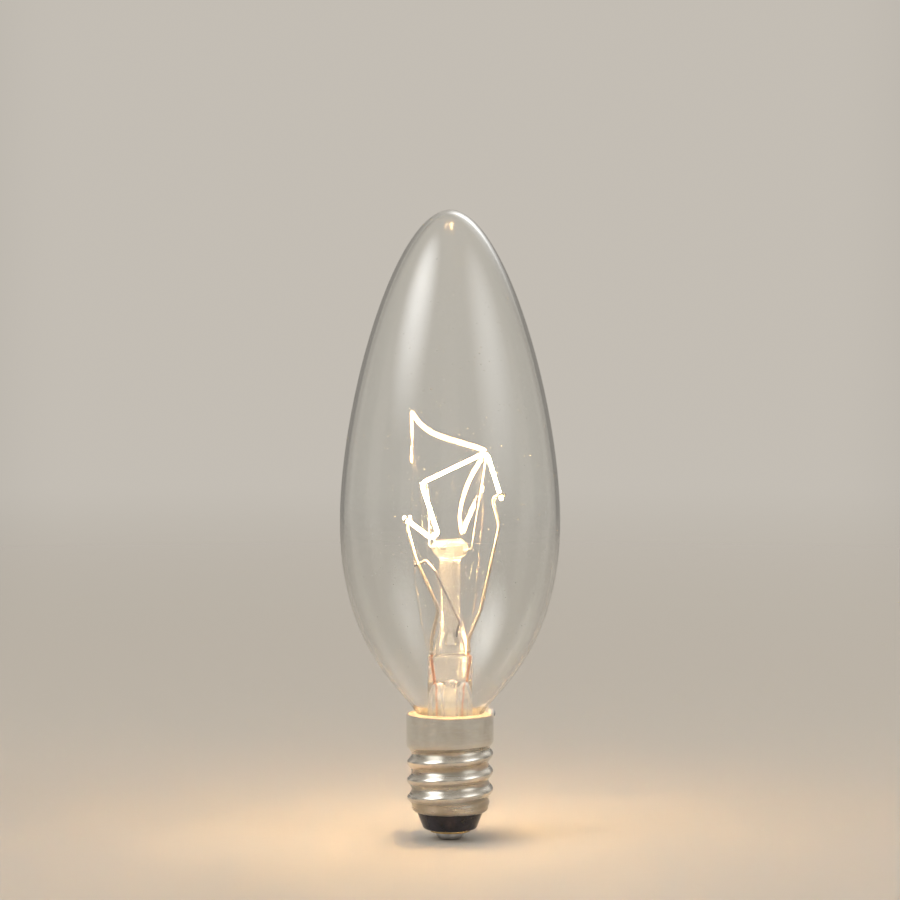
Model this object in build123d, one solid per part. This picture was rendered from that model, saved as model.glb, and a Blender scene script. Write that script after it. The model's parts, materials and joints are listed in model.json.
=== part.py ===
from build123d import *
import math
import os

# Clear glass candle lamp with a small screw cap, in millimetres.
# +Z runs up the lamp's axis to the tip of the glass. The origin is at the lowest point of the centre contact.
# +X is to the right and -Y is to the front, as the lamp is usually shown.

# Screw cap
cap_height = 20.0
thread_major_diameter = 13.8
thread_minor_diameter = 12.2
thread_pitch = 2.822
sections_per_turn = 8
run_out_turns = 0.5
collar_over_thread = 0.1
collar_height = 4.2
sheet = 0.3
lip_bend = 0.8
shell_bottom_height = 4.4
cement_depth = 2.6
cement_below_rim = 0.2
cement_rise = 0.5

# Insulator and centre contact
insulator_bottom_height = 1.6
insulator_bottom_diameter = 8.4
insulator_floor = 2.2
insulator_floor_diameter = 5.2
insulator_rim = 0.6
insulator_edge = 0.7
eyelet_diameter = 6.6
eyelet_thickness = 0.4
eyelet_tube_diameter = 2.6
eyelet_wall = 0.3
eyelet_flange_diameter = 3.8
eyelet_edge = 0.25
solder_diameter = 4.4
solder_flat_diameter = 1.8
solder_in_eyelet = 1.4
side_solder_length = 3.0
side_solder_diameter = 1.7
side_solder_below_rim = 0.15

# Glass envelope
overall_length = 100.0
bulb_diameter = 35.0
belly_above_cap = 30.6
tip_handle = 8.8
shoulder_handle = 21.9
neck_handle = 2.6
neck_below_rim = 0.2
neck_in_cap = 6.5
envelope_wall = 0.6
seal_height = cap_height - neck_in_cap

# Stem, with its heights measured up from the seal between its flare and the neck
stem_diameter = 7.2
stem_wall = 0.8
flare_edge = 0.4
press_turn = 18.0
press_cover = 0.6
press_thickness = 3.6
press_bottom_height = seal_height + 12.7
press_top_height = seal_height + 16.0
press_edge = 0.4
pinch_height = 4.2
pinch_straight = 0.5
pinch_cavity_width = 5.6
pinch_cavity_thickness = 1.5
cavity_top_height = seal_height + 11.9
exhaust_diameter = 3.0
exhaust_wall = 0.6
exhaust_tip_wall = 1.2
exhaust_top_height = seal_height + 12.2
exhaust_tip_height = shell_bottom_height + 4.2
exhaust_taper = 2.4
blow_hole_diameter = 1.0
blow_hole_height = seal_height + 11.5

# Button rod
rod_diameter = 3.3
rod_foot_width = 4.9
rod_foot_thickness = 2.8
rod_foot_height = 5.4
rod_foot_straight = 1.35
button_diameter = 5.8
button_neck = 0.8
button_bottom_height = seal_height + 31.7
button_top_height = seal_height + 34.3

# Wires
seal_wire_diameter = 0.4
seal_wire_out_of_press = 0.5
lead_reach_top = 3.1
lead_rise = 2.0
lead_bottom_height = seal_height + 9.9
inner_lead_diameter = 0.55
weld_diameter = 0.75
outer_lead_diameter = 0.3
outer_lead_clearance = 0.05
support_diameter = 0.28
tie_diameter = 0.42
coil_diameter = 0.6
coil_bend = 0.9
hook_clearance = 0.04
hook_rounding = 0.95
hook_approach = 1.3
lead_hook_from_end = 0.8
wire_in_glass = 1.5
lead_bend = 3.0
lead_hook_bend = 1.0
tie_bend = 1.0
support_bend = 0.5
outer_lead_bend = 0.7

# Places along the filament and the wires, as right, back and up from the middle of the seal
seal_middle = Vector(0, 0, seal_height)
left_tip = seal_middle + Vector(-7.3, -0.5, 37.8)
front_bend = seal_middle + Vector(-1.2, -4.6, 33.5)
left_bend = seal_middle + Vector(-4.6, 4.0, 43.0)
right_bend = seal_middle + Vector(5.9, 3.6, 48.0)
right_tip = seal_middle + Vector(8.2, 0.6, 40.5)
left_lead_knee = seal_middle + Vector(-1.8, -2.1, 23.5)
left_lead_elbow = seal_middle + Vector(-5.4, -1.3, 31.3)
right_lead_knee = seal_middle + Vector(4.9, 1.0, 23.0)
right_lead_elbow = seal_middle + Vector(7.9, 0.7, 36.5)
tie_root = seal_middle + Vector(0.9, -0.7, 19.1)
tie_rise = seal_middle + Vector(1.5, -2.4, 21.5)
tie_turn = seal_middle + Vector(-2.3, -2.7, 29.5)
tie_share = 0.9

# Where the supports leave the button: the direction round it from the right, and the height
support_left_direction = 160.0
support_left_height = seal_height + 33.0
support_right_direction = 12.0
support_right_height = seal_height + 32.7
support_front_direction = 245.0
support_front_height = seal_height + 33.0
support_out_of_button = 0.6

# Sizes that follow from those above
bulb_radius = bulb_diameter / 2
belly_height = cap_height + belly_above_cap
neck_top_height = cap_height - neck_below_rim
thread_major = thread_major_diameter / 2
thread_minor = thread_minor_diameter / 2
thread_mean = (thread_major + thread_minor) / 2
thread_throw = (thread_major - thread_minor) / 2
collar = thread_major + collar_over_thread / 2
lip = thread_minor - lip_bend
thread_start = shell_bottom_height + lip_bend
thread_end = cap_height - collar_height
neck = thread_minor - sheet - 2 * outer_lead_clearance - outer_lead_diameter
neck_bore = neck - envelope_wall
flank_handle = shoulder_handle * math.sqrt((bulb_radius - tip_handle) / (bulb_radius - neck))
stem = stem_diameter / 2
stem_bore = stem - stem_wall
flare_bend = neck_bore - stem
flare_top = seal_height + flare_bend
press_axis = Vector(1, 0, 0).rotate(Axis.Z, press_turn)
press_width = 2 * (lead_reach_top + press_cover)
lead_reach_bottom = (exhaust_diameter / 2 + stem_bore) / 2
rod_top_of_foot = press_top_height + rod_foot_height
filament_points = [left_tip, front_bend, left_bend, right_bend, right_tip]


def at_press(reach, height):
    """Point at a distance from the axis along the press's wide direction."""
    return press_axis * reach + Vector(0, 0, height)


def turned(*edges):
    """Solid of a closed half section, drawn as (radius, height), turned about the axis."""
    return revolve(Plane.XZ * make_face(Curve() + list(edges)), Axis.Z)


def round_off(solid, height, radius):
    """Solid with the outermost edge at a height rounded."""
    level = solid.edges().filter_by(GeomType.CIRCLE).filter_by_position(Axis.Z, height, height)
    return fillet(level.sort_by(SortBy.RADIUS)[-1], radius)


def bent_wire(points, diameter, bends):
    """Round wire along straight runs with a tangent arc at each corner."""
    path = FilletPolyline(*points, radius=bends)
    return sweep(Plane(path @ 0, z_dir=path % 0) * Circle(diameter / 2), path=path)


def loop_round(middle, across, along, held_diameter, wire_diameter):
    """Corners of a hook that comes from the along side, passes on the across side and closes over."""
    ring = held_diameter / 2 + hook_clearance + wire_diameter / 2
    return [
        middle + across * ring + along * hook_approach,
        middle + across * ring - along * ring,
        middle - across * ring - along * ring,
        middle - across * ring + along * ring / 2,
    ], hook_rounding * ring


def candle_side(inset):
    """Side of the glass from the neck over the belly to the tip, moved in by the inset.

    Both curves bend equally at the belly, so that the glass shows no band there.
    """
    belly = bulb_radius - inset
    throat = neck - inset
    tip = overall_length - inset
    shoulder = Bezier(
        (throat, neck_top_height),
        (throat, neck_top_height + neck_handle),
        (belly, belly_height - shoulder_handle),
        (belly, belly_height),
    )
    flank = Bezier(
        (belly, belly_height),
        (belly, belly_height + flank_handle),
        (tip_handle - inset, tip),
        (0, tip),
    )
    return [shoulder, flank]


def glass_envelope():
    return turned(
        *candle_side(0),
        *candle_side(envelope_wall),
        Line((0, overall_length), (0, overall_length - envelope_wall)),
        Line((neck, neck_top_height), (neck, seal_height)),
        Line((neck, seal_height), (neck_bore, seal_height)),
        Line((neck_bore, seal_height), (neck_bore, neck_top_height)),
    )


def glass_space():
    """Everything inside the outer face of the glass, for cutting what is moulded against it."""
    return turned(
        *candle_side(0),
        Line((0, overall_length), (0, seal_height)),
        Line((0, seal_height), (neck, seal_height)),
        Line((neck, seal_height), (neck, neck_top_height)),
    )


def press_oval(width, thickness, height):
    """Flat oval across the axis, wide along the press."""
    return Plane((0, 0, height), x_dir=press_axis) * Ellipse(width / 2, thickness / 2)


def pinched(radius, width, thickness, bottom, top):
    """Round tube that runs smoothly into a flat oval."""
    return loft(
        [
            press_oval(2 * radius, 2 * radius, bottom),
            press_oval(2 * radius, 2 * radius, bottom + pinch_straight),
            press_oval(width, thickness, top - pinch_straight),
            press_oval(width, thickness, top),
        ]
    )


def flare():
    """Foot of the stem, turned outwards until it meets the end of the neck."""
    middle = (neck_bore, flare_top)
    rim_bottom = seal_height - stem_wall
    return turned(
        Line((neck, seal_height), (neck_bore, seal_height)),
        CenterArc(middle, flare_bend, 180, 90),
        Line((stem, flare_top), (stem, press_bottom_height - pinch_height)),
        Line((stem, press_bottom_height - pinch_height), (stem_bore, press_bottom_height - pinch_height)),
        Line((stem_bore, press_bottom_height - pinch_height), (stem_bore, flare_top)),
        CenterArc(middle, flare_bend + stem_wall, 180, 90),
        Line((neck_bore, rim_bottom), (neck - flare_edge, rim_bottom)),
        CenterArc((neck - flare_edge, rim_bottom + flare_edge), flare_edge, 270, 90),
        Line((neck, rim_bottom + flare_edge), (neck, seal_height)),
    )


def stem_tube():
    pinch_bottom = press_bottom_height - pinch_height
    plate = extrude(
        press_oval(press_width, press_thickness, press_bottom_height),
        press_top_height - press_bottom_height,
    )
    plate = fillet(plate.edges().group_by(Axis.Z)[-1], press_edge)
    body = pinched(stem, press_width, press_thickness, pinch_bottom, press_bottom_height) + plate
    body -= pinched(stem_bore, pinch_cavity_width, pinch_cavity_thickness, pinch_bottom, cavity_top_height)
    body += flare()
    body -= exhaust_space()
    body -= blow_hole()
    return body - seal_wire(1) - seal_wire(-1)


def exhaust_space():
    """Outside of the exhaust tube, with the drawn-out point where it was sealed off."""
    outer = exhaust_diameter / 2
    taper_top = exhaust_tip_height + exhaust_taper
    return turned(
        Line((0, exhaust_top_height), (outer, exhaust_top_height)),
        Line((outer, exhaust_top_height), (outer, taper_top)),
        Bezier(
            (outer, taper_top),
            (outer, exhaust_tip_height),
            (outer / 2, exhaust_tip_height),
            (0, exhaust_tip_height),
        ),
        Line((0, exhaust_tip_height), (0, exhaust_top_height)),
    )


def exhaust_bore():
    inner = exhaust_diameter / 2 - exhaust_wall
    taper_top = exhaust_tip_height + exhaust_taper
    end = exhaust_tip_height + exhaust_tip_wall
    return turned(
        Line((0, exhaust_top_height), (inner, exhaust_top_height)),
        Line((inner, exhaust_top_height), (inner, taper_top)),
        Bezier((inner, taper_top), (inner, end), (inner / 2, end), (0, end)),
        Line((0, end), (0, exhaust_top_height)),
    )


def blow_hole():
    """Hole at the front of the press, through which the glass was pumped out."""
    start = Plane((0, 0, blow_hole_height), z_dir=press_axis.rotate(Axis.Z, -90))
    return extrude(start * Circle(blow_hole_diameter / 2), stem_diameter)


def exhaust_tube():
    return exhaust_space() - exhaust_bore() - blow_hole()


def button_rod():
    foot = loft(
        [
            press_oval(rod_foot_width, rod_foot_thickness, press_top_height),
            press_oval(rod_foot_width, rod_foot_thickness, press_top_height + rod_foot_straight),
            press_oval(rod_diameter, rod_diameter, rod_top_of_foot - rod_foot_straight),
            press_oval(rod_diameter, rod_diameter, rod_top_of_foot),
        ]
    )
    rod = rod_diameter / 2
    button = button_diameter / 2
    middle = (button_bottom_height + button_top_height) / 2
    head = turned(
        Line((0, rod_top_of_foot), (rod, rod_top_of_foot)),
        Line((rod, rod_top_of_foot), (rod, button_bottom_height - button_neck)),
        Bezier(
            (rod, button_bottom_height - button_neck),
            (rod, button_bottom_height),
            (button, button_bottom_height),
            (button, middle),
        ),
        Bezier(
            (button, middle),
            (button, button_top_height),
            (rod, button_top_height),
            (0, button_top_height),
        ),
        Line((0, button_top_height), (0, rod_top_of_foot)),
    )
    wires = [tie_wire(), support_left(), support_right(), support_front()]
    return foot + head - wires


def seal_wire(side):
    """Copper-clad wire through the press, leaning outwards from the stem's bore."""
    bottom = at_press(side * lead_reach_bottom, lead_bottom_height)
    top = at_press(side * lead_reach_top, press_top_height + seal_wire_out_of_press)
    run = top - bottom
    return extrude(Plane(bottom, z_dir=run) * Circle(seal_wire_diameter / 2), run.length)


def lead_hook(tip, inward, below):
    """Hook that folds a lead's end round the filament near its tip."""
    held = (inward - tip).normalized()
    middle = tip + held * lead_hook_from_end
    down = below - tip
    along = (down - held * down.dot(held)).normalized()
    return loop_round(middle, held.cross(along), along, coil_diameter, inner_lead_diameter)


def inner_lead(side, knee, elbow, tip, inward):
    root = at_press(side * lead_reach_top, press_top_height + seal_wire_out_of_press)
    hook, hook_bend = lead_hook(tip, inward, elbow)
    points = [root, root + Vector(0, 0, lead_rise), knee, elbow, *hook]
    bends = [lead_bend, lead_bend, lead_bend, lead_hook_bend, hook_bend, hook_bend]
    weld = Pos(root) * Sphere(weld_diameter / 2)
    return bent_wire(points, inner_lead_diameter, bends) + weld - seal_wire(side)


def inner_lead_left():
    return inner_lead(-1, left_lead_knee, left_lead_elbow, left_tip, front_bend)


def inner_lead_right():
    return inner_lead(1, right_lead_knee, right_lead_elbow, right_tip, right_bend)


def filament():
    return bent_wire(filament_points, coil_diameter, [coil_bend] * (len(filament_points) - 2))


def support(point, root, rise):
    """Wire from inside the button, up to a hook round one bend of the filament."""
    corner = filament_points.index(point)
    into = (point - filament_points[corner - 1]).normalized()
    away = (filament_points[corner + 1] - point).normalized()
    inside = (away - into).normalized()
    half_turn = math.radians(into.get_angle(away) / 2)
    middle = point + inside * coil_bend * (1 / math.cos(half_turn) - 1)
    along = (into + away).normalized().cross(inside)
    if along.dot(rise - middle) < 0:
        along = -along
    hook, hook_bend = loop_round(middle, inside, along, coil_diameter, support_diameter)
    bends = [support_bend, support_bend, hook_bend, hook_bend]
    return bent_wire([root, rise, *hook], support_diameter, bends)


def in_button(direction, reach, height):
    return Vector(reach, 0, height).rotate(Axis.Z, direction)


def support_from(direction, height, point):
    button = button_diameter / 2
    root = in_button(direction, button - wire_in_glass, height)
    rise = in_button(direction, button + support_out_of_button, height)
    return support(point, root, rise)


def support_left():
    return support_from(support_left_direction, support_left_height, left_bend)


def support_right():
    return support_from(support_right_direction, support_right_height, right_bend)


def support_front():
    return support_from(support_front_direction, support_front_height, front_bend)


def tie_wire():
    run = left_lead_elbow - left_lead_knee
    held = run.normalized()
    middle = left_lead_knee + run * tie_share
    back = tie_turn - middle
    along = (back - held * back.dot(held)).normalized()
    hook, hook_bend = loop_round(middle, held.cross(along), along, inner_lead_diameter, tie_diameter)
    points = [tie_root, tie_rise, tie_turn, *hook]
    return bent_wire(points, tie_diameter, [tie_bend, tie_bend, support_bend, hook_bend, hook_bend])


def outer_lead_centre():
    points = [
        at_press(-lead_reach_bottom, lead_bottom_height),
        at_press(-lead_reach_bottom, exhaust_tip_height + exhaust_taper / 2),
        Vector(0, 0, thread_start),
        Vector(0, 0, eyelet_thickness),
    ]
    return bent_wire(points, outer_lead_diameter, [outer_lead_bend, outer_lead_bend]) - seal_wire(-1)


def outer_lead_side():
    beside_neck = neck + outer_lead_clearance + outer_lead_diameter / 2
    below_flare = seal_height - stem_wall - 2 * outer_lead_diameter
    over_rim = cap_height + outer_lead_clearance + outer_lead_diameter / 2
    points = [
        at_press(lead_reach_bottom, lead_bottom_height),
        at_press(lead_reach_bottom, below_flare),
        at_press(beside_neck, below_flare),
        at_press(beside_neck, cap_height - cement_depth),
        at_press(collar - sheet - 2 * outer_lead_diameter, over_rim),
        at_press(collar, over_rim),
    ]
    bends = [outer_lead_bend, outer_lead_bend, outer_lead_bend, outer_lead_diameter]
    return bent_wire(points, outer_lead_diameter, bends) - seal_wire(1)


def thread_section(step, steps, inset):
    """Circle across the thread, whose centre goes round the axis once for each pitch it climbs."""
    height = thread_start + (thread_end - thread_start) * step / steps
    nearest_end = min(step, steps - step) / (run_out_turns * sections_per_turn)
    share = min(1, nearest_end)
    share = share * share * (3 - 2 * share)
    plain = thread_minor if step < steps / 2 else collar
    radius = plain + (thread_mean - plain) * share - inset
    angle = 2 * math.pi * (height - thread_start) / thread_pitch
    throw = thread_throw * share
    return Pos(throw * math.cos(angle), throw * math.sin(angle), height) * Circle(radius)


def thread_body(inset):
    turns = (thread_end - thread_start) / thread_pitch
    steps = round(turns * sections_per_turn)
    return loft([thread_section(step, steps, inset) for step in range(steps + 1)])


def screw_shell():
    bend = (lip, thread_start)
    rolled_lip = turned(
        CenterArc(bend, lip_bend, 270, 90),
        CenterArc(bend, lip_bend - sheet, 270, 90),
        Line((lip, shell_bottom_height), (lip, shell_bottom_height + sheet)),
        Line((thread_minor - sheet, thread_start), (thread_minor, thread_start)),
    )
    rim = turned(
        Line((collar - sheet, thread_end), (collar, thread_end)),
        Line((collar, thread_end), (collar, cap_height)),
        Line((collar, cap_height), (collar - sheet, cap_height)),
        Line((collar - sheet, cap_height), (collar - sheet, thread_end)),
    )
    return rolled_lip + (thread_body(0) - thread_body(sheet)) + rim


def insulator():
    floor_top = insulator_bottom_height + insulator_floor
    hole = eyelet_tube_diameter / 2
    bottom = insulator_bottom_diameter / 2
    floor = insulator_floor_diameter / 2
    inside = lip + lip_bend - sheet
    body = turned(
        Line((hole, insulator_bottom_height), (bottom, insulator_bottom_height)),
        Line((bottom, insulator_bottom_height), (lip, shell_bottom_height)),
        Line((lip, shell_bottom_height), (lip, shell_bottom_height + sheet)),
        CenterArc((lip, thread_start), lip_bend - sheet, 270, 90),
        Line((inside, thread_start), (inside - insulator_rim, thread_start)),
        Line((inside - insulator_rim, thread_start), (floor, floor_top)),
        Line((floor, floor_top), (hole, floor_top)),
        Line((hole, floor_top), (hole, insulator_bottom_height)),
    )
    return round_off(body, insulator_bottom_height, insulator_edge)


def contact_eyelet():
    floor_top = insulator_bottom_height + insulator_floor
    face = insulator_bottom_height - eyelet_thickness
    outer = eyelet_tube_diameter / 2
    inner = outer - eyelet_wall
    disc = eyelet_diameter / 2
    flange = eyelet_flange_diameter / 2
    body = turned(
        Polyline(
            (inner, face),
            (disc, face),
            (disc, insulator_bottom_height),
            (outer, insulator_bottom_height),
            (outer, floor_top),
            (flange, floor_top),
            (flange, floor_top + eyelet_wall),
            (inner, floor_top + eyelet_wall),
            (inner, face),
        )
    )
    return round_off(body, face, eyelet_edge)


def contact_solder():
    face = insulator_bottom_height - eyelet_thickness
    flat = solder_flat_diameter / 2
    drop = solder_diameter / 2
    bore = eyelet_tube_diameter / 2 - eyelet_wall
    blob = turned(
        Line((0, 0), (flat, 0)),
        Bezier((flat, 0), (drop, 0), (drop, face / 2), (drop, face)),
        Line((drop, face), (bore, face)),
        Line((bore, face), (bore, face + solder_in_eyelet)),
        Line((bore, face + solder_in_eyelet), (0, face + solder_in_eyelet)),
        Line((0, face + solder_in_eyelet), (0, 0)),
    )
    return blob - outer_lead_centre()


def basing_cement():
    bottom = cap_height - cement_depth
    top = cap_height - cement_below_rim
    ring = turned(
        Line((neck, bottom), (collar - sheet, bottom)),
        Line((collar - sheet, bottom), (collar - sheet, top)),
        Line((collar - sheet, top), (neck, top + cement_rise)),
        Line((neck, top + cement_rise), (neck, bottom)),
    )
    return ring - glass_space() - outer_lead_side()


def shell_solder():
    """Drop of solder that lies along the rim, over the end of the side lead."""
    length = side_solder_length / 2
    middle = at_press(collar - sheet, cap_height - side_solder_below_rim)
    along = press_axis.rotate(Axis.Z, 90)
    half = make_face(
        Curve()
        + [
            EllipticalCenterArc((0, 0), length, side_solder_diameter / 2, arc_size=180),
            Line((-length, 0), (length, 0)),
        ]
    )
    drop = revolve(Plane(middle, x_dir=along, z_dir=press_axis) * half, Axis(middle, along))
    return drop - screw_shell() - basing_cement() - outer_lead_side() - glass_space()


nodes = {
    "glass_envelope": glass_envelope(),
    "stem_tube": stem_tube(),
    "exhaust_tube": exhaust_tube(),
    "button_rod": button_rod(),
    "seal_wire_left": seal_wire(-1),
    "seal_wire_right": seal_wire(1),
    "inner_lead_left": inner_lead_left(),
    "inner_lead_right": inner_lead_right(),
    "outer_lead_centre": outer_lead_centre(),
    "outer_lead_side": outer_lead_side(),
    "support_left": support_left(),
    "support_right": support_right(),
    "support_front": support_front(),
    "tie_wire": tie_wire(),
    "filament": filament(),
    "screw_shell": screw_shell(),
    "basing_cement": basing_cement(),
    "insulator": insulator(),
    "contact_eyelet": contact_eyelet(),
    "contact_solder": contact_solder(),
    "shell_solder": shell_solder(),
}

os.makedirs("parts", exist_ok=True)
for name, solid in nodes.items():
    export_step(solid, f"parts/{name}.step")
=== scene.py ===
import json
import math

import bmesh
import bpy
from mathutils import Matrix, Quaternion, Vector


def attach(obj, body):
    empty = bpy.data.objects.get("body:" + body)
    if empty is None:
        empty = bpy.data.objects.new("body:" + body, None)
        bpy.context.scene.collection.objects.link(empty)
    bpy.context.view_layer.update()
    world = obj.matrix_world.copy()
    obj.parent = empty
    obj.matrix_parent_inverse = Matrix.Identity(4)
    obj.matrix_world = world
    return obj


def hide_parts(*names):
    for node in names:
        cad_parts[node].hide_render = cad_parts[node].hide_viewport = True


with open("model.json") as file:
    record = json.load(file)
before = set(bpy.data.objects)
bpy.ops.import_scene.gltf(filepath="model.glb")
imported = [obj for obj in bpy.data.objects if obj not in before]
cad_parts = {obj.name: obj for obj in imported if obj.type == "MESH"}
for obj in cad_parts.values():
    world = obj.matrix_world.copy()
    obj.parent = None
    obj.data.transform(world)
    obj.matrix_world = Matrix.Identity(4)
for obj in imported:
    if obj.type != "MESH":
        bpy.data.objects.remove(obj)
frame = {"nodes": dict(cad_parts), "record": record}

# Looks of a clear glass candle lamp, lit. Lengths are in metres unless a heading says millimetres, in the
# model's own frame: +Z up the lamp's axis to the tip of the glass, the origin at the lowest point of the
# centre contact.

MM = 0.001

# Height of the seal at the end of the neck, from which the filament and the glass are measured
SEAL_HEIGHT = 13.5 * MM

# Filament coil, wound along the route of the plain bar that it stands for
COIL_DIAMETER = 0.6 * MM
COIL_WIRE = 0.1 * MM
COIL_PITCH = 0.17 * MM
COIL_BEND = 0.9 * MM
COIL_STEPS_PER_TURN = 12
COIL_WIRE_SIDES = 6

# Corners of that route, in millimetres from the seal
FILAMENT_ROUTE = [
    Vector((-7.3, -0.5, 37.8)),
    Vector((-1.2, -4.6, 33.5)),
    Vector((-4.6, 4.0, 43.0)),
    Vector((5.9, 3.6, 48.0)),
    Vector((8.2, 0.6, 40.5)),
]

# Glass envelope: radii in millimetres, and heights in millimetres above the seal
ENVELOPE_WALL = 0.6
BULB_RADIUS = 17.5
BELLY_HEIGHT = 37.1
TIP_HEIGHT = 86.5
TIP_HANDLE = 8.8
SHOULDER_HANDLE = 21.9
NECK_RADIUS = 5.4
NECK_HANDLE = 2.6
NECK_TOP = 6.3
FLANK_HANDLE = SHOULDER_HANDLE * math.sqrt((BULB_RADIUS - TIP_HANDLE) / (BULB_RADIUS - NECK_RADIUS))

# Glass mount, melted together, measured in the same way
PRESS_TURN = math.radians(18)
PRESS_WIDE = Vector((math.cos(PRESS_TURN), math.sin(PRESS_TURN), 0))
PRESS_FLAT = Vector((-math.sin(PRESS_TURN), math.cos(PRESS_TURN), 0))
BUTTON_RADIUS = 2.9
BUTTON_TOP = 34.3
BUTTON_BOTTOM = 31.7
BUTTON_MIDDLE = (BUTTON_TOP + BUTTON_BOTTOM) / 2
BUTTON_NECK = 0.8
ROD_RADIUS = 1.65
ROD_BOTTOM = 20.05
FOOT_WIDE = 2.45
FOOT_FLAT = 1.4
FOOT_TOP = 17.35
PRESS_HALF_WIDE = 3.7
PRESS_HALF_FLAT = 1.8
PRESS_TOP = 16.0
PRESS_EDGE = 0.4
PRESS_BOTTOM = 12.2
PINCH_BOTTOM = 9.0
STEM_RADIUS = 3.6
STEM_WALL = 0.8
STEM_BORE = STEM_RADIUS - STEM_WALL
FLARE_RIM = NECK_RADIUS
FLARE_BEND = 1.2
FLARE_CENTRE = STEM_RADIUS + FLARE_BEND
FLARE_EDGE = 0.4
EXHAUST_RADIUS = 1.5
EXHAUST_BORE = 0.9
EXHAUST_TAPER_TOP = -2.5
EXHAUST_TIP = -4.9
EXHAUST_BORE_TIP = -3.7
EXHAUST_BORE_TOP = 12.2
BLOW_HOLE_RADIUS = 0.5
BLOW_HOLE_HEIGHT = 11.5

# Ovals by which the stem's bore closes on the exhaust tube: half width, half thickness, height, and how far
# the height dips at the flat sides
BORE_END = [
    (2.75, 1.7, 10.6, 0.3),
    (2.65, 1.62, 11.3, 0.8),
    (2.3, 1.57, 11.75, 1.15),
    (1.8, 1.53, 11.85, 1.2),
    (EXHAUST_RADIUS, EXHAUST_RADIUS, 11.7, 1.2),
    (EXHAUST_RADIUS, EXHAUST_RADIUS, 10.0, 0),
]

# Meshes of the glass. The step between the rows of a run is in millimetres, and rows that are as good as
# equal count as one.
ENVELOPE_SIDES = 160
ENVELOPE_STEPS = 60
MOUNT_SIDES = 72
CURVE_STEPS = 14
RUN_STEP = 0.5
SAME_ROW = 1e-6
BLOW_HOLE_SIDES = 32
SHARP_ANGLE = math.radians(40)

# Finishes. The scale of a noise is its cells to the metre. A span is the stretch of a pattern's values over
# which a finish changes, and a pair of roughnesses belongs to its two ends.
NOISE_SPAN = (0.3, 0.7)

# Envelope, with a tint that shows where its wall is seen edge on. The tint's density is to the metre.
ENVELOPE_COLOUR = (0.985, 0.99, 0.985)
ENVELOPE_CLEARNESS = 1.0
ENVELOPE_IOR = 1.5
TINT_COLOUR = (0.2, 0.24, 0.22)
TINT_DENSITY = 110.0
SMEAR_NOISE = {"scale": 160, "detail": 6, "roughness": 0.65}
SMEAR_SPAN = (0.5, 0.8)
SMEAR_ROUGHNESS = (0.0, 0.05)

# Dust on the envelope: cells to the metre, radius of a speck as a share of a cell, share of that radius
# that is solid, share of the cells with a speck, and share of the specks that aren't faint
DUST_SCALE = 900
DUST_RADIUS = 0.09
DUST_CORE = 0.6
DUST_SHARE = 0.6
DUST_PLAIN = 0.9
DUST_COLOUR = (0.6, 0.56, 0.5)
DUST_ROUGHNESS = 0.6

# Glass mount
MOUNT_COLOUR = (0.97, 0.97, 0.95)
MOUNT_CLEARNESS = 0.94
MOUNT_IOR = 1.55
CLOUD_NOISE = {"scale": 420, "detail": 5, "roughness": 0.6}
CLOUD_SPAN = (0.4, 0.75)
CLOUD_ROUGHNESS = (0.02, 0.2)
PRESSED_ROUGHNESS = 0.08
WAVE_NOISE = {"scale": 260, "detail": 1, "stretch": (1, 1, 0.5)}
WAVE_HEIGHT = 0.08 * MM

# Screw shell, worn from the roots of its thread to the crests. Its gloss is drawn out by the streak, which a
# quarter of a turn points up the shell.
ACROSS = (1, 1, 0)
SHELL_ROOT_AND_CREST = (6.2 * MM, 6.85 * MM)
SHELL_HALF_WEAR = (0.0, 0.5)
SHELL_WEAR_SPAN = (0.1, 0.9)
SHELL_COLOURS = [(0.1, (0.4, 0.37, 0.31)), (0.5, (0.62, 0.59, 0.53)), (0.9, (0.76, 0.74, 0.69))]
SHELL_ROUGHNESS = (0.34, 0.13)
SHELL_STREAK = 0.8
QUARTER_TURN = 0.25
STAIN_NOISE = {"scale": 220, "detail": 5, "roughness": 0.55}
LINE_NOISE = {"scale": 5000, "detail": 3, "stretch": (0.02, 0.02, 1)}
LINE_ROUGHNESS = (-0.06, 0.06)
LINE_HEIGHT = 0.003 * MM

# Metals: colours of the dull and the bright patches, roughness of both, scale of the patches, and height of
# the grain
METALS = {
    "nickel_wire": ((0.52, 0.48, 0.42), (0.74, 0.7, 0.64), (0.5, 0.34), 900, 0.004 * MM),
    "molybdenum_wire": ((0.4, 0.4, 0.41), (0.58, 0.58, 0.59), (0.55, 0.4), 1200, 0.003 * MM),
    "copper_wire": ((0.5, 0.2, 0.11), (0.8, 0.42, 0.27), (0.45, 0.25), 1000, 0.004 * MM),
    "contact_brass": ((0.55, 0.37, 0.15), (0.82, 0.62, 0.32), (0.45, 0.25), 500, 0.006 * MM),
    "solder": ((0.42, 0.42, 0.44), (0.7, 0.7, 0.71), (0.5, 0.25), 700, 0.02 * MM),
}
PATCH_NOISE = {"detail": 5, "roughness": 0.6}
GRAIN_NOISE = {"detail": 4}
GRAINS_PER_PATCH = 8

# Filament
TUNGSTEN_COLOUR = (0.3, 0.28, 0.26)
TUNGSTEN_ROUGHNESS = (0.3, 0.55)
DRAWN_NOISE = {"scale": 30000}
GLOW_COLOUR = (1.0, 0.62, 0.27)
GLOW_STRENGTH = 560.0

# Cement
GRIT_NOISE = {"scale": 2600, "detail": 8, "roughness": 0.7}
GRIT_COLOURS = [(0.3, (0.42, 0.34, 0.24)), (0.55, (0.62, 0.54, 0.41)), (0.75, (0.74, 0.68, 0.56))]
GRIT_HEIGHT = 0.12 * MM
CEMENT_ROUGHNESS = 0.9

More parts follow.
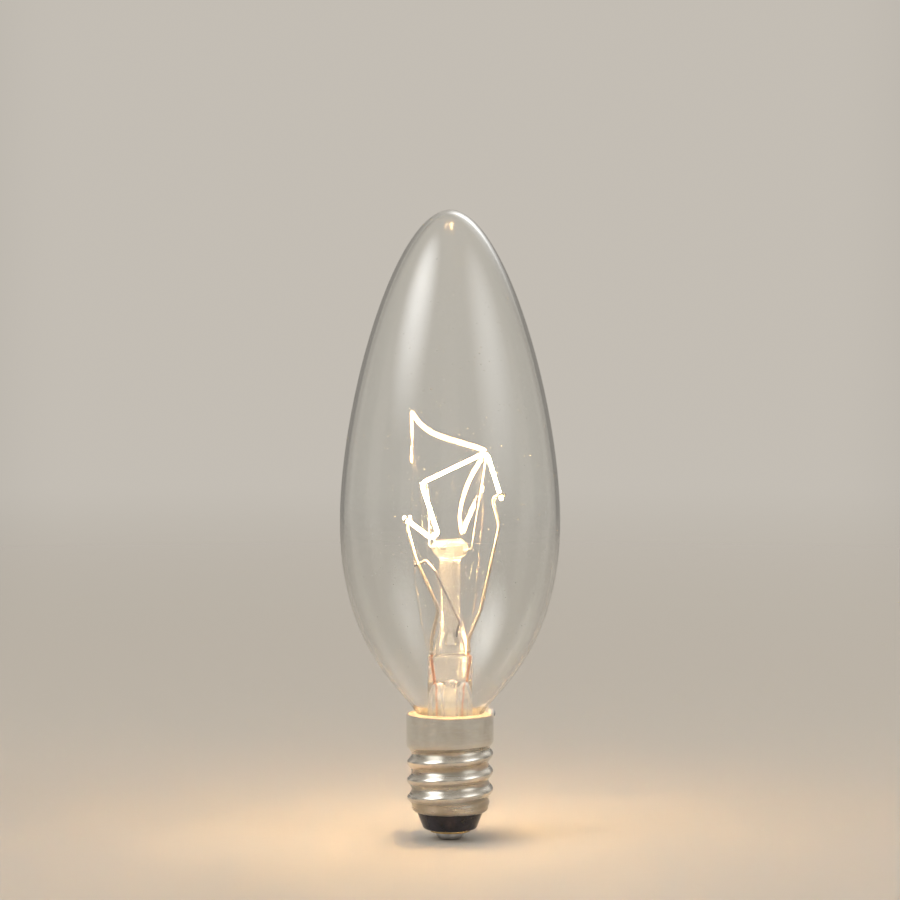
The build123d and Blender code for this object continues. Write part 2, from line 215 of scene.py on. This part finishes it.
# Dark glass of the insulator
FLOW_NOISE = {"scale": 420, "detail": 3}
FLOW_COLOURS = [(0.35, (0.012, 0.011, 0.014)), (0.7, (0.035, 0.03, 0.038))]
FLOW_ROUGHNESS = (0.06, 0.16)
FLOW_HEIGHT = 0.05 * MM

# Stage: a round floor that fades into a plain pale backdrop with soft panels of light and a ceiling
FLOOR_RADIUS = 4.0
FLOOR_SIDES = 96
FLOOR_FADE = (0.1, 1.0)
FLOOR_COLOUR = (0.51, 0.475, 0.425)
FLOOR_ROUGHNESS = 0.8
BACKDROP_COLOUR = (1.0, 0.93, 0.83)
PANELS = 8
PANEL_EDGE = (-0.2, 0.6)
PANEL_LEVELS = (0.3, 0.55)
CEILING_LEVEL = 0.55
CEILING_RISE = (0.15, 0.7)

# Square lamps: place, width and power. A lamp's face runs from 0 to 1 each way.
LAMPS = {
    "key": ((-0.85, -0.45, 0.85), 1.4, 30.0),
    "fill": ((0.9, -0.5, 0.65), 1.4, 12.0),
    "back": ((0.4, 0.7, 0.7), 1.2, 7.0),
}
LAMP_AIM = (0, 0, 50 * MM)
FACE_HALF = 0.5

# Camera, with its lens and sensor in millimetres
CAMERA_DISTANCE = 505 * MM
CAMERA_HEIGHT = 86 * MM
CAMERA_AIM_HEIGHT = 62 * MM
LENS = 127.6
SENSOR = 36.0

# Light paths
BOUNCES = 24
BRIGHTEST_BOUNCE = 60.0


def link(source, output, target, socket):
    """Join an output of one node to a socket of another."""
    source.id_data.links.new(source.outputs[output], target.inputs[socket])


def new_material(name):
    """Material with a Principled shader, and a coordinate node in metres."""
    material = bpy.data.materials.new(name)
    material.use_nodes = True
    nodes = material.node_tree.nodes
    shader = nodes["Principled BSDF"]
    place = nodes.new("ShaderNodeTexCoord")
    return material, nodes, shader, place


def add_noise(nodes, place, scale, detail=3, roughness=0.5, stretch=(1, 1, 1)):
    mapping = nodes.new("ShaderNodeMapping")
    mapping.inputs["Scale"].default_value = stretch
    link(place, "Object", mapping, "Vector")
    noise = nodes.new("ShaderNodeTexNoise")
    noise.inputs["Scale"].default_value = scale
    noise.inputs["Detail"].default_value = detail
    noise.inputs["Roughness"].default_value = roughness
    link(mapping, "Vector", noise, "Vector")
    return noise


def add_ramp(nodes, source, output, stops):
    """Colour ramp with stops of (position, colour)."""
    ramp = nodes.new("ShaderNodeValToRGB")
    elements = ramp.color_ramp.elements
    while len(elements) < len(stops):
        elements.new(stops[1][0])
    for element, (position, colour) in zip(elements, stops):
        element.position = position
        element.color = (*colour, 1)
    link(source, output, ramp, "Fac")
    return ramp


def add_range(nodes, source, output, span, results, smooth=False):
    """Values of a span carried over to a pair of results, and held beyond its ends."""
    mapped = nodes.new("ShaderNodeMapRange")
    mapped.inputs["From Min"].default_value = span[0]
    mapped.inputs["From Max"].default_value = span[1]
    mapped.inputs["To Min"].default_value = results[0]
    mapped.inputs["To Max"].default_value = results[1]
    if smooth:
        mapped.interpolation_type = "SMOOTHSTEP"
    link(source, output, mapped, "Value")
    return mapped


def add_bump(nodes, shader, source, output, height):
    bump = nodes.new("ShaderNodeBump")
    bump.inputs["Distance"].default_value = height
    bump.inputs["Strength"].default_value = 1.0
    link(source, output, bump, "Height")
    link(bump, "Normal", shader, "Normal")


def add_math(nodes, operation, first, second):
    """Sum, product or the like of two (node, output) pairs."""
    result = nodes.new("ShaderNodeMath")
    result.operation = operation
    link(*first, result, 0)
    link(*second, result, 1)
    return result


def add_vector_math(nodes, operation, source, output, other=None):
    """Length, product or the like of a vector, with a fixed second vector where the operation takes one."""
    result = nodes.new("ShaderNodeVectorMath")
    result.operation = operation
    if other is not None:
        result.inputs[1].default_value = other
    link(source, output, result, 0)
    return result


def add_height(nodes, place, output):
    """Node whose Z output is the height."""
    height = nodes.new("ShaderNodeSeparateXYZ")
    link(place, output, height, "Vector")
    return height


def mix_with_clear(material, shader, share, output):
    """Surface that can be seen through as far as the share says."""
    nodes = material.node_tree.nodes
    clear = nodes.new("ShaderNodeBsdfTransparent")
    mix = nodes.new("ShaderNodeMixShader")
    link(share, output, mix, "Fac")
    link(shader, "BSDF", mix, 1)
    link(clear, "BSDF", mix, 2)
    link(mix, "Shader", nodes["Material Output"], "Surface")


def let_lamps_through(material, shader):
    """Glass that casts no shadow, so that light gets in and out without grain."""
    path = material.node_tree.nodes.new("ShaderNodeLightPath")
    mix_with_clear(material, shader, path, "Is Shadow Ray")


def glass(name, colour, clearness, ior):
    material, nodes, shader, place = new_material(name)
    shader.inputs["Base Color"].default_value = (*colour, 1)
    shader.inputs["Transmission Weight"].default_value = clearness
    shader.inputs["IOR"].default_value = ior
    let_lamps_through(material, shader)
    return material, nodes, shader, place


def add_dust(nodes, place):
    """One at sparse round specks of dust and nought elsewhere."""
    cells = nodes.new("ShaderNodeTexVoronoi")
    cells.inputs["Scale"].default_value = DUST_SCALE
    link(place, "Object", cells, "Vector")
    spot = add_range(nodes, cells, "Distance", (DUST_RADIUS, DUST_RADIUS * DUST_CORE), (0, 1))
    lot = nodes.new("ShaderNodeSeparateColor")
    link(cells, "Color", lot, "Color")
    chosen = add_range(nodes, lot, "Red", (DUST_SHARE, DUST_SHARE * DUST_PLAIN), (0, 1))
    return add_math(nodes, "MULTIPLY", (spot, "Result"), (chosen, "Result"))


def add_tint(nodes):
    """Glass that takes a little of the light on its way through."""
    tint = nodes.new("ShaderNodeVolumeAbsorption")
    tint.inputs["Color"].default_value = (*TINT_COLOUR, 1)
    tint.inputs["Density"].default_value = TINT_DENSITY
    link(tint, "Volume", nodes["Material Output"], "Volume")


def envelope_glass():
    """Clear blown glass with faint smears and a little dust."""
    material, nodes, shader, place = glass(
        "envelope_glass", ENVELOPE_COLOUR, ENVELOPE_CLEARNESS, ENVELOPE_IOR
    )
    smear = add_noise(nodes, place, **SMEAR_NOISE)
    polish = add_range(nodes, smear, "Fac", SMEAR_SPAN, SMEAR_ROUGHNESS)
    dust = add_dust(nodes, place)
    matt = add_range(nodes, dust, "Value", (0, 1), (0, DUST_ROUGHNESS))
    roughness = add_math(nodes, "MAXIMUM", (polish, "Result"), (matt, "Result"))
    link(roughness, "Value", shader, "Roughness")
    colour = add_ramp(nodes, dust, "Value", [(0, ENVELOPE_COLOUR), (1, DUST_COLOUR)])
    link(colour, "Color", shader, "Base Color")
    add_tint(nodes)
    return material


def stem_glass():
    """Thick worked glass, clear in the rod and duller where it was pressed and melted."""
    material, nodes, shader, place = glass("stem_glass", MOUNT_COLOUR, MOUNT_CLEARNESS, MOUNT_IOR)
    cloud = add_noise(nodes, place, **CLOUD_NOISE)
    polish = add_range(nodes, cloud, "Fac", CLOUD_SPAN, CLOUD_ROUGHNESS)
    height = add_height(nodes, place, "Object")
    foot = SEAL_HEIGHT + ROD_BOTTOM * MM
    press = SEAL_HEIGHT + PRESS_TOP * MM
    pressed = add_range(nodes, height, "Z", (foot, press), (0, PRESSED_ROUGHNESS))
    roughness = add_math(nodes, "ADD", (polish, "Result"), (pressed, "Result"))
    link(roughness, "Value", shader, "Roughness")
    wave = add_noise(nodes, place, **WAVE_NOISE)
    add_bump(nodes, shader, wave, "Fac", WAVE_HEIGHT)
    return material


def streak_up(nodes, shader):
    """Gloss drawn out up the shell, across the lines that were rolled round it."""
    tangent = nodes.new("ShaderNodeTangent")
    tangent.direction_type = "RADIAL"
    tangent.axis = "Z"
    link(tangent, "Tangent", shader, "Tangent")
    shader.inputs["Anisotropic"].default_value = SHELL_STREAK
    shader.inputs["Anisotropic Rotation"].default_value = QUARTER_TURN


def plated_shell():
    """Nickel plating with fine lines rolled round it, worn bright on the crests and dull in the roots."""
    material, nodes, shader, place = new_material("plated_shell")
    shader.inputs["Metallic"].default_value = 1.0
    across = add_vector_math(nodes, "MULTIPLY", place, "Object", ACROSS)
    reach = add_vector_math(nodes, "LENGTH", across, "Vector")
    crest = add_range(nodes, reach, "Value", SHELL_ROOT_AND_CREST, SHELL_HALF_WEAR)
    stains = add_noise(nodes, place, **STAIN_NOISE)
    blotch = add_range(nodes, stains, "Fac", NOISE_SPAN, SHELL_HALF_WEAR)
    wear = add_math(nodes, "ADD", (crest, "Result"), (blotch, "Result"))
    colour = add_ramp(nodes, wear, "Value", SHELL_COLOURS)
    link(colour, "Color", shader, "Base Color")
    lines = add_noise(nodes, place, **LINE_NOISE)
    uneven = add_range(nodes, lines, "Fac", NOISE_SPAN, LINE_ROUGHNESS)
    polish = add_range(nodes, wear, "Value", SHELL_WEAR_SPAN, SHELL_ROUGHNESS)
    roughness = add_math(nodes, "ADD", (polish, "Result"), (uneven, "Result"))
    link(roughness, "Value", shader, "Roughness")
    add_bump(nodes, shader, lines, "Fac", LINE_HEIGHT)
    streak_up(nodes, shader)
    return material


def metal(name, dull, bright, roughness, scale, grain):
    """Metal whose colour and polish vary a little from place to place."""
    material, nodes, shader, place = new_material(name)
    shader.inputs["Metallic"].default_value = 1.0
    patches = add_noise(nodes, place, scale, **PATCH_NOISE)
    colour = add_ramp(nodes, patches, "Fac", list(zip(NOISE_SPAN, (dull, bright))))
    link(colour, "Color", shader, "Base Color")
    polish = add_range(nodes, patches, "Fac", NOISE_SPAN, roughness)
    link(polish, "Result", shader, "Roughness")
    fine = add_noise(nodes, place, scale * GRAINS_PER_PATCH, **GRAIN_NOISE)
    add_bump(nodes, shader, fine, "Fac", grain)
    return material


def glowing_tungsten():
    """Drawn wire, white hot."""
    material, nodes, shader, place = new_material("glowing_tungsten")
    shader.inputs["Base Color"].default_value = (*TUNGSTEN_COLOUR, 1)
    shader.inputs["Metallic"].default_value = 1.0
    shader.inputs["Emission Color"].default_value = (*GLOW_COLOUR, 1)
    shader.inputs["Emission Strength"].default_value = GLOW_STRENGTH
    drawn = add_noise(nodes, place, **DRAWN_NOISE)
    polish = add_range(nodes, drawn, "Fac", NOISE_SPAN, TUNGSTEN_ROUGHNESS)
    link(polish, "Result", shader, "Roughness")
    return material


def cement():
    """Pale fired cement with fine grit."""
    material, nodes, shader, place = new_material("cement")
    grit = add_noise(nodes, place, **GRIT_NOISE)
    colour = add_ramp(nodes, grit, "Fac", GRIT_COLOURS)
    link(colour, "Color", shader, "Base Color")
    shader.inputs["Roughness"].default_value = CEMENT_ROUGHNESS
    add_bump(nodes, shader, grit, "Fac", GRIT_HEIGHT)
    return material


def dark_glass():
    """Nearly black poured glass with slow flow marks."""
    material, nodes, shader, place = new_material("dark_glass")
    flow = add_noise(nodes, place, **FLOW_NOISE)
    colour = add_ramp(nodes, flow, "Fac", FLOW_COLOURS)
    link(colour, "Color", shader, "Base Color")
    polish = add_range(nodes, flow, "Fac", NOISE_SPAN, FLOW_ROUGHNESS)
    link(polish, "Result", shader, "Roughness")
    add_bump(nodes, shader, flow, "Fac", FLOW_HEIGHT)
    return material


def rounded_route(points, bend, step):
    """Points along straight runs joined by arcs."""
    dense = [points[0]]
    for before, corner, after in zip(points, points[1:], points[2:]):
        into = (corner - before).normalized()
        away = (after - corner).normalized()
        half = into.angle(away) / 2
        start = corner - into * (bend * math.tan(half))
        inside = (away - into).normalized()
        centre = corner + inside * (bend / math.cos(half))
        axis = into.cross(away).normalized()
        steps = max(2, math.ceil(2 * half * bend / step))
        for i in range(steps + 1):
            turn = start - centre
            turn.rotate(Quaternion(axis, 2 * half * i / steps))
            dense.append(centre + turn)
    dense.append(points[-1])
    return dense


def evenly(points, step):
    """The same line cut into equal steps."""
    lengths = [0.0]
    for a, b in zip(points, points[1:]):
        lengths.append(lengths[-1] + (b - a).length)
    count = round(lengths[-1] / step)
    even = []
    index = 0
    for i in range(count + 1):
        at = lengths[-1] * i / count
        while index < len(points) - 2 and lengths[index + 1] < at:
            index += 1
        share = (at - lengths[index]) / (lengths[index + 1] - lengths[index])
        even.append(points[index].lerp(points[index + 1], share))
    return even


def carried_frames(points):
    """Each point with two crossways directions, carried along without twisting."""
    frames = []
    side = None
    for i, point in enumerate(points):
        before = points[max(0, i - 1)]
        after = points[min(len(points) - 1, i + 1)]
        ahead = (after - before).normalized()
        if side is None:
            side = ahead.orthogonal()
        side = (side - ahead * side.dot(ahead)).normalized()
        frames.append((point, side, ahead.cross(side)))
    return frames


def new_piece(mesh, name):
    """Smooth object in the scene, made of a bmesh."""
    for face in mesh.faces:
        face.smooth = True
    data = bpy.data.meshes.new(name)
    mesh.to_mesh(data)
    mesh.free()
    piece = bpy.data.objects.new(name, data)
    bpy.context.scene.collection.objects.link(piece)
    return piece


def tube(points, radius, sides, name):
    """Closed round tube along points."""
    mesh = bmesh.new()
    rings = []
    for point, side, up in carried_frames(points):
        ring = []
        for k in range(sides):
            angle = 2 * math.pi * k / sides
            ring.append(mesh.verts.new(point + (side * math.cos(angle) + up * math.sin(angle)) * radius))
        rings.append(ring)
    for low, high in zip(rings, rings[1:]):
        for k in range(sides):
            after = (k + 1) % sides
            mesh.faces.new((low[k], low[after], high[after], high[k]))
    mesh.faces.new(reversed(rings[0]))
    mesh.faces.new(rings[-1])
    return new_piece(mesh, name)


def from_seal(point):
    """Place in metres of a point in millimetres from the seal."""
    return point * MM + Vector((0, 0, SEAL_HEIGHT))


def coiled_filament():
    """Tungsten wire wound into a coil along the filament's route."""
    corners = [from_seal(point) for point in FILAMENT_ROUTE]
    step = COIL_PITCH / COIL_STEPS_PER_TURN
    middle = evenly(rounded_route(corners, COIL_BEND, step), step)
    reach = (COIL_DIAMETER - COIL_WIRE) / 2
    wire = []
    for i, (point, side, up) in enumerate(carried_frames(middle)):
        angle = 2 * math.pi * i / COIL_STEPS_PER_TURN
        wire.append(point + (side * math.cos(angle) + up * math.sin(angle)) * reach)
    piece = tube(wire, COIL_WIRE / 2, COIL_WIRE_SIDES, "filament_coil")
    piece.data.materials.append(glowing_tungsten())
    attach(piece, "root")
    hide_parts("filament")


def bezier(*points, steps=CURVE_STEPS):
    """Points along a cubic curve, as (reach, height)."""
    a, b, c, d = [Vector(point) for point in points]
    line = []
    for i in range(steps + 1):
        t = i / steps
        s = 1 - t
        line.append(a * s**3 + b * 3 * s * s * t + c * 3 * s * t * t + d * t**3)
    return line


def quarter(centre, height, radius, start, end):
    """Points along a quarter circle, as (reach, height), between two angles in degrees."""
    line = []
    for i in range(CURVE_STEPS + 1):
        angle = math.radians(start + (end - start) * i / CURVE_STEPS)
        line.append((centre + radius * math.cos(angle), height + radius * math.sin(angle)))
    return line


def round_row(reach, height):
    """Row of (half width, half thickness, height, dip) for a circle about the axis."""
    return (reach, reach, height, 0)


def round_rows(line):
    return [round_row(reach, height) for reach, height in line]


def bezier_rows(*points):
    return round_rows(bezier(*points))


def blend_rows(start, end):
    """Rows that pass smoothly from one oval to another."""
    steps = max(2, round(abs(end[2] - start[2]) / RUN_STEP))
    rows = []
    for i in range(steps + 1):
        t = i / steps
        share = t * t * (3 - 2 * t)
        wide = start[0] + (end[0] - start[0]) * share
        flat = start[1] + (end[1] - start[1]) * share
        height = start[2] + (end[2] - start[2]) * t
        dip = start[3] + (end[3] - start[3]) * t
        rows.append((wide, flat, height, dip))
    return rows


def candle_rows(inset):
    """Side of the glass from the tip down to the end of the neck, moved in by the inset."""
    belly = BULB_RADIUS - inset
    throat = NECK_RADIUS - inset
    tip = TIP_HEIGHT - inset
    flank = bezier(
        (0, tip),
        (TIP_HANDLE - inset, tip),
        (belly, BELLY_HEIGHT + FLANK_HANDLE),
        (belly, BELLY_HEIGHT),
        steps=ENVELOPE_STEPS,
    )
    shoulder = bezier(
        (belly, BELLY_HEIGHT),
        (belly, BELLY_HEIGHT - SHOULDER_HANDLE),
        (throat, NECK_TOP + NECK_HANDLE),
        (throat, NECK_TOP),
        steps=ENVELOPE_STEPS,
    )
    neck = blend_rows(round_row(throat, NECK_TOP), round_row(throat, 0))
    return round_rows(flank + shoulder) + neck


def rod_rows():
    """Button and rod, from the top down to the rod's foot."""
    rod_start = BUTTON_BOTTOM - BUTTON_NECK
    rows = bezier_rows(
        (0, BUTTON_TOP),
        (ROD_RADIUS, BUTTON_TOP),
        (BUTTON_RADIUS, BUTTON_TOP),
        (BUTTON_RADIUS, BUTTON_MIDDLE),
    )
    rows += bezier_rows(
        (BUTTON_RADIUS, BUTTON_MIDDLE),
        (BUTTON_RADIUS, BUTTON_BOTTOM),
        (ROD_RADIUS, BUTTON_BOTTOM),
        (ROD_RADIUS, rod_start),
    )
    rod_end = round_row(ROD_RADIUS, ROD_BOTTOM)
    rows += blend_rows(round_row(ROD_RADIUS, rod_start), rod_end)
    rows += blend_rows(rod_end, (FOOT_WIDE, FOOT_FLAT, FOOT_TOP, 0))
    return rows


def press_rows():
    """Foot's fillet and the pressed plate, down to the round stem."""
    ledge = (FOOT_WIDE + PRESS_HALF_WIDE - PRESS_EDGE) / 2
    corner = PRESS_HALF_WIDE - PRESS_EDGE / 2
    inside = bezier(
        (FOOT_WIDE, PRESS_TOP + PRESS_EDGE),
        (FOOT_WIDE, PRESS_TOP),
        (FOOT_WIDE, PRESS_TOP),
        (ledge, PRESS_TOP),
    )
    outside = bezier(
        (ledge, PRESS_TOP),
        (corner, PRESS_TOP),
        (PRESS_HALF_WIDE, PRESS_TOP - PRESS_EDGE / 2),
        (PRESS_HALF_WIDE, PRESS_TOP - PRESS_EDGE),
    )
    rows = []
    for wide, height in inside + outside:
        share = (wide - FOOT_WIDE) / (PRESS_HALF_WIDE - FOOT_WIDE)
        rows.append((wide, FOOT_FLAT + (PRESS_HALF_FLAT - FOOT_FLAT) * share, height, 0))
    bottom = (PRESS_HALF_WIDE, PRESS_HALF_FLAT, PRESS_BOTTOM, 0)
    rows += blend_rows(rows[-1], bottom)
    rows += blend_rows(bottom, round_row(STEM_RADIUS, PINCH_BOTTOM))
    return rows


def flare_rows():
    """Stem, its flared foot, and the bore up to the pinch."""
    rows = blend_rows(round_row(STEM_RADIUS, PINCH_BOTTOM), round_row(STEM_RADIUS, FLARE_BEND))
    rows += round_rows(quarter(FLARE_CENTRE, FLARE_BEND, FLARE_BEND, 180, 270))
    rows.append(round_row(FLARE_RIM, 0))
    edge = FLARE_EDGE - STEM_WALL
    rows += round_rows(quarter(FLARE_RIM - FLARE_EDGE, edge, FLARE_EDGE, 0, -90))
    rows += round_rows(quarter(FLARE_CENTRE, FLARE_BEND, FLARE_BEND + STEM_WALL, 270, 180))
    rows += blend_rows(round_row(STEM_BORE, FLARE_BEND), round_row(STEM_BORE, PINCH_BOTTOM))
    return rows


def exhaust_rows():
    """End of the stem's bore, which closes on the exhaust tube, and that tube down to its tip."""
    rows = blend_rows(round_row(STEM_BORE, PINCH_BOTTOM), BORE_END[0])
    rows += BORE_END[1:]
    rows += blend_rows(BORE_END[-1], round_row(EXHAUST_RADIUS, EXHAUST_TAPER_TOP))
    rows += bezier_rows(
        (EXHAUST_RADIUS, EXHAUST_TAPER_TOP),
        (EXHAUST_RADIUS, EXHAUST_TIP),
        (EXHAUST_RADIUS / 2, EXHAUST_TIP),
        (0, EXHAUST_TIP),
    )
    return rows


def bore_rows():
    """Inside of the exhaust tube, from its tip up."""
    rows = bezier_rows(
        (0, EXHAUST_BORE_TIP),
        (EXHAUST_BORE / 2, EXHAUST_BORE_TIP),
        (EXHAUST_BORE, EXHAUST_BORE_TIP),
        (EXHAUST_BORE, EXHAUST_TAPER_TOP),
    )
    shoulder = EXHAUST_BORE_TOP - EXHAUST_BORE
    rows += blend_rows(rows[-1], round_row(EXHAUST_BORE, shoulder))
    rows += bezier_rows(
        (EXHAUST_BORE, shoulder),
        (EXHAUST_BORE, EXHAUST_BORE_TOP),
        (EXHAUST_BORE / 2, EXHAUST_BORE_TOP),
        (0, EXHAUST_BORE_TOP),
    )
    return rows


def skin(mesh, rows, sides):
    """Closed surface through rows of ovals, from a point on the axis to another."""
    kept = [rows[0]]
    for row in rows[1:]:
        if max(abs(a - b) for a, b in zip(row, kept[-1])) > SAME_ROW:
            kept.append(row)
    rings = []
    for wide, flat, height, dip in kept[1:-1]:
        ring = []
        for k in range(sides):
            angle = 2 * math.pi * k / sides
            point = PRESS_WIDE * wide * math.cos(angle) + PRESS_FLAT * flat * math.sin(angle)
            point.z = height - dip * math.sin(angle) ** 2
            ring.append(mesh.verts.new(from_seal(point)))
        rings.append(ring)
    start, end = [mesh.verts.new(from_seal(Vector((0, 0, kept[i][2])))) for i in (0, -1)]
    for k in range(sides):
        after = (k + 1) % sides
        mesh.faces.new((start, rings[0][k], rings[0][after]))
        for high, low in zip(rings, rings[1:]):
            mesh.faces.new((high[k], low[k], low[after], high[after]))
        mesh.faces.new((rings[-1][k], end, rings[-1][after]))


def blow_hole():
    """Round bar to cut the hole through which the lamp was pumped out."""
    start = from_seal(Vector((0, 0, BLOW_HOLE_HEIGHT)) - PRESS_FLAT * EXHAUST_BORE / 2)
    end = start - PRESS_FLAT * STEM_RADIUS * MM
    return tube([start, end], BLOW_HOLE_RADIUS * MM, BLOW_HOLE_SIDES, "blow_hole")


def cut(piece, cutter):
    """Take the cutter out of the piece, and remove the cutter."""
    modifier = piece.modifiers.new("cut", "BOOLEAN")
    modifier.operation = "DIFFERENCE"
    modifier.solver = "EXACT"
    modifier.object = cutter
    evaluated = piece.evaluated_get(bpy.context.evaluated_depsgraph_get())
    whole = piece.data
    piece.data = bpy.data.meshes.new_from_object(evaluated)
    piece.modifiers.clear()
    bpy.data.meshes.remove(whole)
    bpy.data.objects.remove(cutter)


def finish_glass(piece, material, slot, *nodes):
    """Give a piece of glass its finish, and hide the CAD nodes that it stands for."""
    piece.data.set_sharp_from_angle(angle=SHARP_ANGLE)
    piece.data.materials.clear()
    piece.data.materials.append(material)
    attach(piece, "root")
    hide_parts(*nodes)


def envelope():
    """Blown glass with an even mesh, so that its edges look as smooth as the real ones."""
    mesh = bmesh.new()
    skin(mesh, candle_rows(0) + candle_rows(ENVELOPE_WALL)[::-1], ENVELOPE_SIDES)
    finish_glass(new_piece(mesh, "envelope"), envelope_glass(), "envelope_glass", "glass_envelope")


def glass_mount():
    """Stem, press, exhaust tube, rod and button as one body of glass, since they are melted together."""
    mesh = bmesh.new()
    skin(mesh, rod_rows() + press_rows() + flare_rows() + exhaust_rows(), MOUNT_SIDES)
    skin(mesh, bore_rows(), MOUNT_SIDES)
    piece = new_piece(mesh, "glass_mount")
    cut(piece, blow_hole())
    finish_glass(piece, stem_glass(), "stem_glass", "stem_tube", "exhaust_tube", "button_rod")


def finish_nodes():
    """A finish for each piece that keeps its own shape, by the material slot that the record gives it."""
    finishes = {name: metal(name, *look) for name, look in METALS.items()}
    finishes["plated_shell"] = plated_shell()
    finishes["cement"] = cement()
    finishes["dark_glass"] = dark_glass()
    for part in frame["record"]["subparts"]:
        if part["material_slot"] in finishes:
            node = frame["nodes"][part["node"]]
            node.data.materials.clear()
            node.data.materials.append(finishes[part["material_slot"]])


def stage_floor():
    """Round floor that fades out far away, and can't be seen from below."""
    mesh = bmesh.new()
    bmesh.ops.create_circle(mesh, cap_ends=True, radius=FLOOR_RADIUS, segments=FLOOR_SIDES)
    floor = new_piece(mesh, "floor")
    material, nodes, shader, place = new_material("floor")
    shader.inputs["Base Color"].default_value = (*FLOOR_COLOUR, 1)
    shader.inputs["Roughness"].default_value = FLOOR_ROUGHNESS
    away = add_vector_math(nodes, "LENGTH", place, "Object")
    fade = add_range(nodes, away, "Value", FLOOR_FADE, (0, 1), smooth=True)
    face = nodes.new("ShaderNodeNewGeometry")
    hidden = add_math(nodes, "MAXIMUM", (fade, "Result"), (face, "Backfacing"))
    mix_with_clear(material, shader, hidden, "Value")
    floor.data.materials.append(material)


def add_panels(nodes, place):
    """Levels of soft lighter and darker panels all round."""
    around = nodes.new("ShaderNodeTexGradient")
    around.gradient_type = "RADIAL"
    link(place, "Generated", around, "Vector")
    turn = add_range(nodes, around, "Fac", (0, 1), (0, 2 * math.pi * PANELS))
    wave = nodes.new("ShaderNodeMath")
    wave.operation = "COSINE"
    link(turn, "Result", wave, 0)
    return add_range(nodes, wave, "Value", PANEL_EDGE, PANEL_LEVELS, smooth=True)


def backdrop():
    """Plain pale surroundings, with soft panels that show in glass and metal, and an even ceiling."""
    world = bpy.data.worlds.new("backdrop")
    world.use_nodes = True
    bpy.context.scene.world = world
    nodes = world.node_tree.nodes
    place = nodes.new("ShaderNodeTexCoord")
    height = add_height(nodes, place, "Generated")
    above = add_range(nodes, height, "Z", CEILING_RISE, (0, 1), smooth=True)
    level = nodes.new("ShaderNodeMix")
    level.inputs["B"].default_value = CEILING_LEVEL
    link(above, "Result", level, "Factor")
    link(add_panels(nodes, place), "Result", level, "A")
    background = nodes["Background"]
    background.inputs["Color"].default_value = (*BACKDROP_COLOUR, 1)
    link(level, "Result", background, "Strength")


def place_facing(name, data, place, aim):
    """Lamp or camera in the scene that looks from its place at a point."""
    looker = bpy.data.objects.new(name, data)
    looker.location = place
    looker.rotation_mode = "QUATERNION"
    looker.rotation_quaternion = (Vector(aim) - Vector(place)).to_track_quat("-Z", "Y")
    bpy.context.scene.collection.objects.link(looker)
    return looker


def softbox(name, place, size, power):
    """Square lamp whose light fades towards its edges, so that gloss shows no hard outline."""
    data = bpy.data.lights.new(name, "AREA")
    data.size = size
    data.energy = power
    data.use_nodes = True
    nodes = data.node_tree.nodes
    face = nodes.new("ShaderNodeNewGeometry")
    reach = add_vector_math(nodes, "DISTANCE", face, "Parametric", (FACE_HALF, FACE_HALF, 0))
    fade = add_range(nodes, reach, "Value", (FACE_HALF, 0), (0, 1), smooth=True)
    link(fade, "Result", nodes["Emission"], "Strength")
    place_facing(name, data, place, LAMP_AIM)


def studio_light():
    """A softbox for each lamp."""
    for name, lamp in LAMPS.items():
        softbox(name, *lamp)


def camera():
    """Camera at the photo's viewing angle."""
    data = bpy.data.cameras.new("camera")
    data.lens = LENS
    data.sensor_width = SENSOR
    place = (0, -CAMERA_DISTANCE, CAMERA_HEIGHT)
    bpy.context.scene.camera = place_facing("camera", data, place, (0, 0, CAMERA_AIM_HEIGHT))


def light_paths():
    """Enough bounces to see through every wall of glass, and room for the filament's bright reflections."""
    cycles = bpy.context.scene.cycles
    cycles.max_bounces = BOUNCES
    cycles.transmission_bounces = BOUNCES
    cycles.transparent_max_bounces = BOUNCES
    cycles.sample_clamp_indirect = BRIGHTEST_BOUNCE


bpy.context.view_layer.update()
finish_nodes()
envelope()
glass_mount()
coiled_filament()
stage_floor()
backdrop()
studio_light()
camera()
light_paths()
bpy.context.scene.view_settings.view_transform = "Standard"
